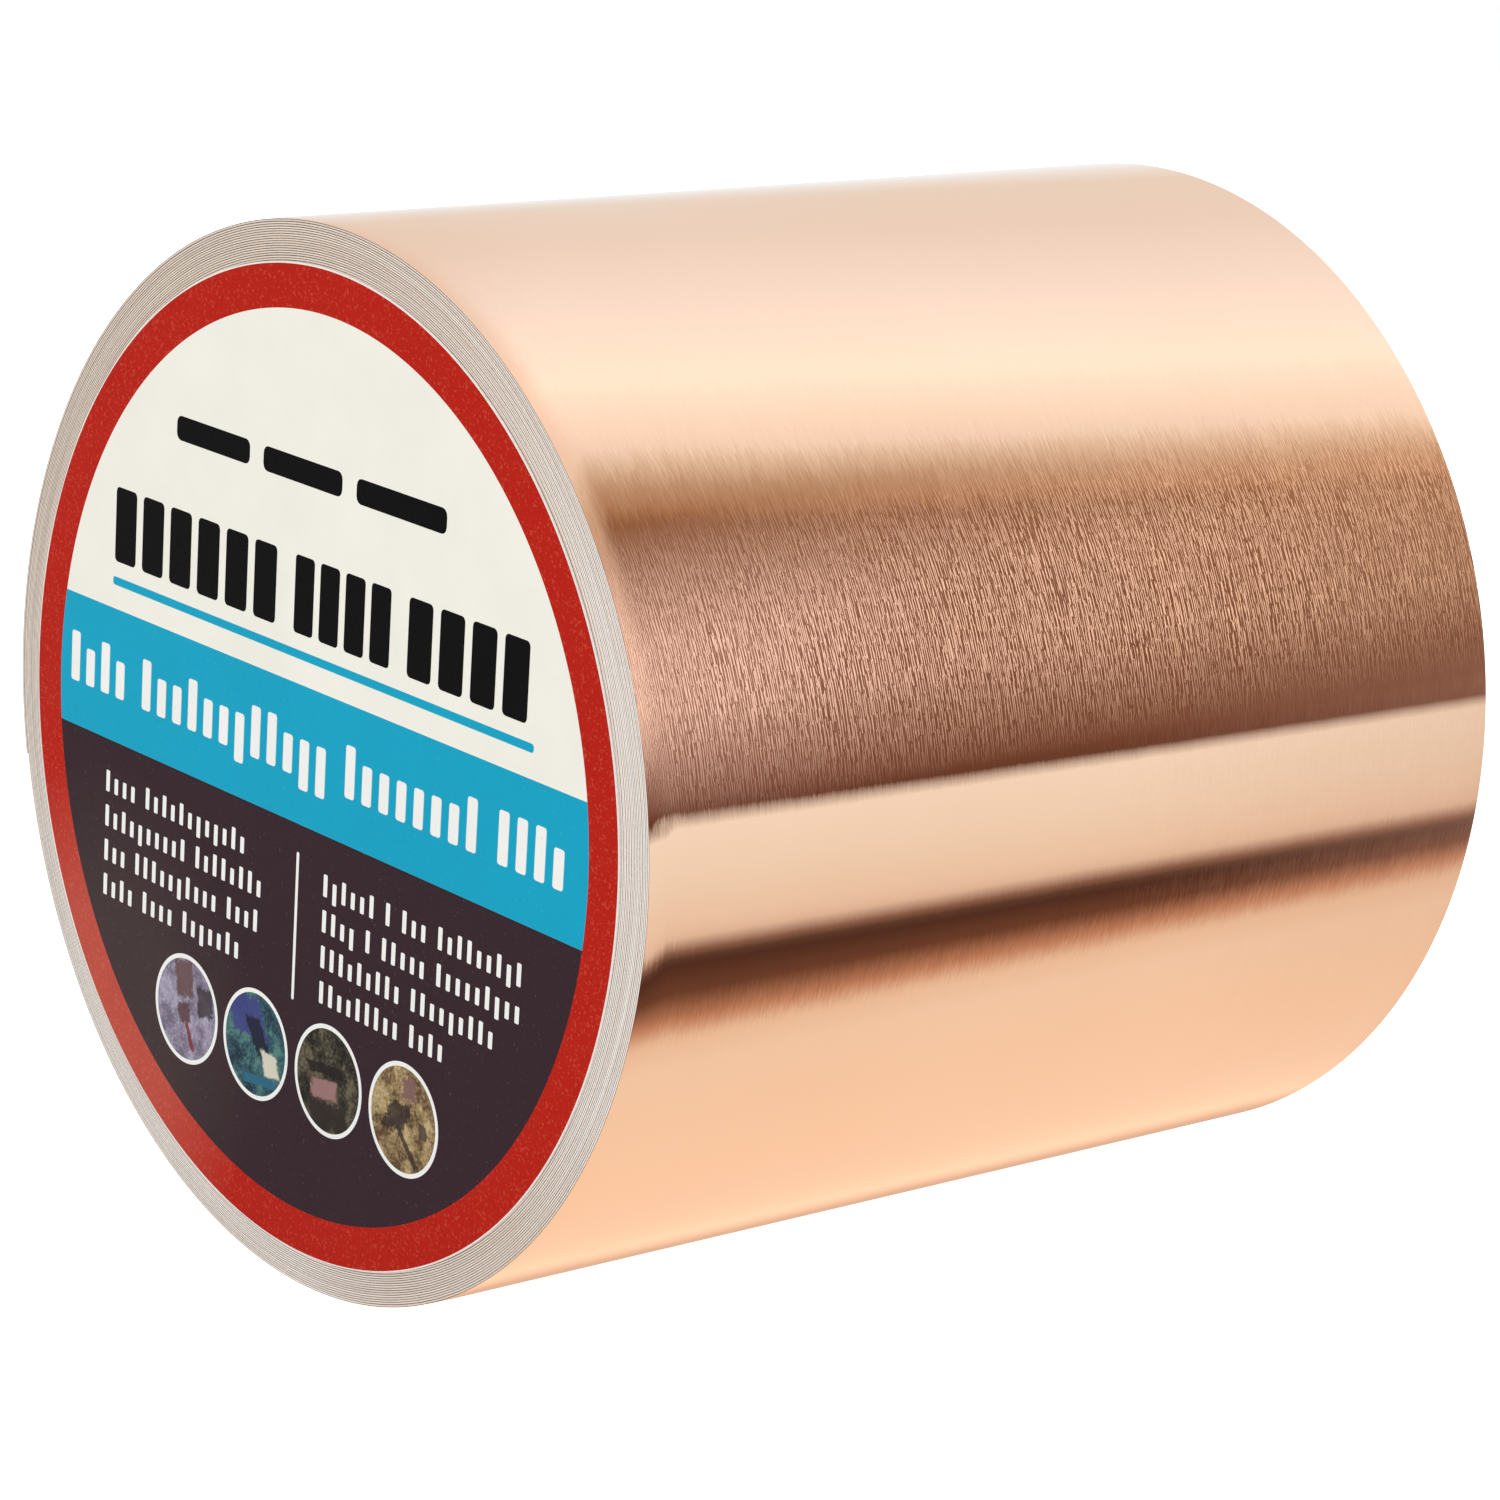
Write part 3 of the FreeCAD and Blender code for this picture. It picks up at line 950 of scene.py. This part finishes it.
# Each picture: its place along the row, three backdrop shades, and its patches, all in millimetres.
# Each patch: its centre, width, height, lean and colour.
ROUNDELS = (
    (
        -18.1,
        (srgb(112, 104, 122), srgb(146, 138, 158), srgb(170, 164, 182)),
        (
            (-0.2, 3.0, 2.9, 3.8, 0.05, srgb(104, 74, 72)),
            (3.2, 1.0, 2.6, 3.0, 0.0, srgb(64, 54, 60)),
            (-0.4, -0.4, 2.2, 2.0, 0.3, srgb(92, 58, 58)),
            (0.4, -2.6, 0.7, 3.0, 0.35, srgb(124, 48, 50)),
        ),
    ),
    (
        -6.48,
        (srgb(30, 50, 66), srgb(52, 92, 100), srgb(84, 128, 118)),
        (
            (-1.6, 2.6, 6.0, 4.2, 0.4, srgb(62, 66, 128)),
            (0.6, 0.6, 2.4, 4.2, 0.5, srgb(24, 28, 44)),
            (2.4, -1.6, 2.6, 2.4, 0.2, srgb(222, 216, 196)),
            (0.6, -3.4, 5.4, 0.9, 0.0, srgb(40, 104, 130)),
        ),
    ),
    (
        5.32,
        (srgb(26, 24, 20), srgb(62, 56, 44), srgb(104, 96, 76)),
        (
            (-0.4, 1.0, 6.4, 1.1, 0.0, srgb(34, 24, 24)),
            (-0.6, -0.9, 4.0, 1.9, 0.1, srgb(158, 118, 116)),
            (-0.2, -3.4, 6.0, 2.6, 0.0, srgb(46, 38, 34)),
        ),
    ),
    (
        17.08,
        (srgb(92, 70, 46), srgb(146, 122, 84), srgb(192, 168, 124)),
        (
            (0.9, 2.9, 1.9, 2.0, 0.0, srgb(126, 92, 92)),
            (-1.0, 0.2, 3.4, 2.6, -0.5, srgb(52, 40, 38)),
            (0.4, -2.4, 0.8, 4.0, 0.8, srgb(58, 46, 42)),
            (3.0, -0.6, 1.3, 1.6, 0.0, srgb(74, 58, 50)),
        ),
    ),
)
for number, (along, backdrop, patches) in enumerate(ROUNDELS, start=1):
    centre = label_point(along * MM, ROUNDEL_HEIGHT)
    look = picture_material(f"label_picture_{number}", centre, backdrop, patches)
    roundel_picture(number, along * MM, look)
    roundel_rim(number, along * MM)

# ---- studio ----

# What the copper mirrors at each angle about the roll's axis, in degrees from +X up towards +Z.
STUDIO = (
    (-200, (0.93, 1.03, 1.1)),
    (-168, (0.9, 0.93, 0.93)),
    (-160, (0.6, 0.42, 0.33)),
    (-146, (0.82, 0.56, 0.4)),
    (-134, (1.18, 0.98, 0.78)),
    (-114, (1.02, 0.93, 0.83)),
    (-84, (0.97, 0.92, 0.84)),
    (-64, (0.92, 0.91, 0.87)),
    (-57, (0.86, 0.8, 0.73)),
    (-52.5, (0.55, 0.34, 0.25)),
    (-47.4, (0.16, 0.08, 0.055)),
    (-41.1, (0.07, 0.035, 0.03)),
    (-38.9, (0.27, 0.185, 0.15)),
    (-35.7, (0.8, 0.78, 0.77)),
    (-32, (0.86, 0.88, 0.88)),
    (-22, (0.9, 1.0, 1.03)),
    (-11.9, (0.95, 1.07, 1.16)),
    (-9.8, (0.14, 0.07, 0.05)),
    (-6, (0.18, 0.09, 0.065)),
    (30, (0.23, 0.135, 0.1)),
    (37, (0.25, 0.155, 0.11)),
    (46.5, (0.28, 0.17, 0.11)),
    (50, (0.43, 0.3, 0.21)),
    (55.2, (0.55, 0.46, 0.38)),
    (60.2, (0.76, 0.77, 0.74)),
    (64.2, (0.95, 1.03, 1.1)),
    (82, (1.25, 1.35, 1.5)),
    (106, (0.99, 1.16, 1.37)),
    (130, (0.88, 0.99, 1.1)),
    (156, (0.84, 0.9, 0.9)),
    (172, (0.92, 1.02, 1.08)),
    (200, (0.93, 1.03, 1.1)),
)
STUDIO_REACH = 200.0
NEAR_LAMP_COLOUR = (1.62, 1.6, 1.85)
FAR_LAMP_COLOUR = (1.58, 1.49, 1.32)
SPILL_COLOUR = (0.8, 0.76, 0.72)
FAR_HAZE = (0.55, 0.47, 0.48)
LAMP_SPACING = 0.015  # of the thin lamps behind the brown gap, along the axis
SKY = 1.0

# Each of these spreads a value between its first two numbers over the last two, or over 0 to 1.
BEHIND = (-0.2, -0.5)
LOW_FAN = (-52, -40, 0, 43)
HIGH_FAN = (-13, 57, -19, 66)
NEAR_WIDENING = (0.655, 0.615, 0.0, 0.35)
NEAR_GLOW = (0.65, 0.61, 0.0, 0.17)
FAR_GLOW = (0.7, 0.74, 0.0, 0.12)
LAMP_EDGE = (0.2, 0.95)
NEAR_DIMMING = (0.66, 0.615, 1.0, 0.87)
FAR_DIMMING = (0.69, 0.735, 1.0, 0.6)
LAMP_START = (-7, 16)
LAMP_END = (60, 34, 0.0, 0.75)
LAMP_FALL = (0.61, 0.74, 6, -9)
LAMP_FADE = (0.615, 0.74)
SPILL_ALONG = (0.6, 0.54, 0.0, 0.45)
SPILL_UP = (0, 12)
HAZE_ALONG = (0.68, 0.75)
HAZE_UP = (6, -6, 0.0, 0.3)
FAN_MIDDLE = 0.6  # the cards fan out on each side of this much of a ray along the axis
FAN_LEVEL = 0.08  # and are level this far from it
LAMP_LEAN = -40.0

FLOOR_REACH = 1.5
FLOOR_SHADE = (0.9, 0.9, 0.9, 1)
FLOOR_GLOW = 0.8
KEY_PLACE = (0.5, -0.6, 0.6)
KEY_SIZE = 0.5
KEY_POWER = 0.6
CAMERA_LENS = 118.8  # millimetres, as the sensor's width
CAMERA_SENSOR = 36.0
CAMERA_PLACE = (0.36305, -0.29829, 0.08712)
CAMERA_RIGHT = (0.6355, 0.7721, 0.0)
CAMERA_BACK = (0.7578, -0.6237, 0.1917)


def ray_angle(graph, x, y, z):
    """A ray's angle about the roll's axis, in degrees; left and right change over for rays from behind."""
    from_behind = graph.stretch(y, *BEHIND)
    side = graph.math("MULTIPLY_ADD", from_behind, -2.0, 1.0)
    angle = graph.math("ARCTAN2", z, graph.math("MULTIPLY", x, side))
    return graph.math("DEGREES", angle)


def thin_lamps(graph, along_axis, tilt, angle):
    """How much a ray sees of the row of thin lamps behind the brown gap, from 0 to 1."""
    wave = graph.math("SINE", graph.math("MULTIPLY", along_axis, FULL_TURN / LAMP_SPACING))
    wave = graph.math("ADD", wave, graph.stretch(along_axis, *NEAR_WIDENING))
    glow = graph.math("ADD", graph.stretch(along_axis, *NEAR_GLOW), graph.stretch(along_axis, *FAR_GLOW))
    lamps = graph.math("MAXIMUM", graph.stretch(wave, *LAMP_EDGE), glow)
    lamps = graph.math("MULTIPLY", lamps, graph.stretch(along_axis, *FAR_DIMMING))
    lamps = graph.math("MULTIPLY", lamps, graph.stretch(along_axis, *NEAR_DIMMING))
    leaning = graph.math("MULTIPLY_ADD", tilt, LAMP_LEAN, angle)
    falling = graph.math("ADD", angle, graph.stretch(along_axis, *LAMP_FALL))
    in_gap = graph.math("MULTIPLY", graph.stretch(leaning, *LAMP_START), graph.stretch(falling, *LAMP_END))
    return graph.math("MULTIPLY", lamps, in_gap)


def mirrored_studio(graph):
    """The colour a mirrored ray sees: cards along the axis, with the lamps, their spill and a haze."""
    direction = graph.add("ShaderNodeTexCoord").node.outputs["Generated"]
    x, y, z = graph.split(direction)
    angle = ray_angle(graph, x, y, z)
    fan = graph.math("ADD", graph.stretch(angle, *LOW_FAN), graph.stretch(angle, *HIGH_FAN))
    along_axis = graph.math("ABSOLUTE", y)
    off_middle = graph.math("ABSOLUTE", graph.math("SUBTRACT", along_axis, FAN_MIDDLE))
    tilt = graph.math("SUBTRACT", off_middle, FAN_LEVEL)
    placed = graph.math("MULTIPLY_ADD", fan, tilt, angle)
    share = graph.stretch(placed, -STUDIO_REACH, STUDIO_REACH)
    stops = [((stop + STUDIO_REACH) / (2 * STUDIO_REACH), colour) for stop, colour in STUDIO]
    cards = graph.ramp(share, stops)
    lamps = thin_lamps(graph, along_axis, tilt, angle)
    spill = graph.math("MULTIPLY", graph.stretch(along_axis, *SPILL_ALONG), graph.stretch(placed, *SPILL_UP))
    cards = graph.mix(spill, cards, SPILL_COLOUR)
    lamp_colour = graph.mix(graph.stretch(along_axis, *LAMP_FADE), NEAR_LAMP_COLOUR, FAR_LAMP_COLOUR)
    cards = graph.mix(lamps, cards, lamp_colour)
    sheen_haze = graph.math("MULTIPLY", graph.stretch(along_axis, *HAZE_ALONG), graph.stretch(placed, *HAZE_UP))
    return graph.mix(sheen_haze, cards, FAR_HAZE)


def studio_world():
    """A white sky, in which mirrored rays see the studio instead."""
    world = bpy.data.worlds.new("studio")
    world.use_nodes = True
    bpy.context.scene.world = world
    world.cycles.sampling_method = "NONE"
    graph = Graph(world.node_tree)
    rays = graph.add("ShaderNodeLightPath").node.outputs
    colour = graph.mix(rays["Is Glossy Ray"], (SKY, SKY, SKY), mirrored_studio(graph))
    colour = graph.mix(rays["Is Camera Ray"], colour, (SKY, SKY, SKY))
    background = graph.add("ShaderNodeBackground", {"Color": colour, "Strength": 1.0})
    graph.add("ShaderNodeOutputWorld", {"Surface": background})


def studio_floor():
    """A pale floor under the roll, bright enough to run into the background."""
    corners = ((-FLOOR_REACH, -FLOOR_REACH), (FLOOR_REACH, -FLOOR_REACH))
    corners += ((FLOOR_REACH, FLOOR_REACH), (-FLOOR_REACH, FLOOR_REACH))
    vertices = [(x, y, FLOOR_HEIGHT) for x, y in corners]
    material, graph = material_graph("floor")
    rays = graph.add("ShaderNodeLightPath").node.outputs
    glow = graph.math("MULTIPLY", rays["Is Camera Ray"], FLOOR_GLOW)
    matt = {"Base_Color": FLOOR_SHADE, "Roughness": 1.0, "Specular_IOR_Level": 0.0}
    graph.finish(**matt, Emission_Color=(1, 1, 1, 1), Emission_Strength=glow)
    floor = make_object("floor", vertices, [(0, 1, 2, 3)], [material])
    floor.visible_glossy = False


def soft_box(name, place, size, power):
    """A large soft lamp aimed at the roll, not seen in the copper."""
    lamp = bpy.data.lights.new(name, "AREA")
    lamp.shape = "SQUARE"
    lamp.size = size
    lamp.energy = power
    thing = bpy.data.objects.new(name, lamp)
    thing.location = place
    thing.rotation_euler = (-Vector(place)).to_track_quat("-Z", "Y").to_euler()
    thing.visible_glossy = False
    bpy.context.scene.collection.objects.link(thing)


def camera():
    """The viewing place, low and well round to the copper's side."""
    lens = bpy.data.cameras.new("camera")
    lens.lens = CAMERA_LENS
    lens.sensor_width = CAMERA_SENSOR
    lens.clip_start = 0.01
    thing = bpy.data.objects.new("camera", lens)
    right = Vector(CAMERA_RIGHT).normalized()
    back = Vector(CAMERA_BACK).normalized()
    up = back.cross(right).normalized()
    right = up.cross(back)
    turn = Matrix((right, up, back)).transposed().to_4x4()
    thing.matrix_world = Matrix.Translation(CAMERA_PLACE) @ turn
    bpy.context.scene.collection.objects.link(thing)
    bpy.context.scene.camera = thing


studio_world()
studio_floor()
soft_box("key", KEY_PLACE, KEY_SIZE, KEY_POWER)
camera()
bpy.context.scene.view_settings.view_transform = "Standard"
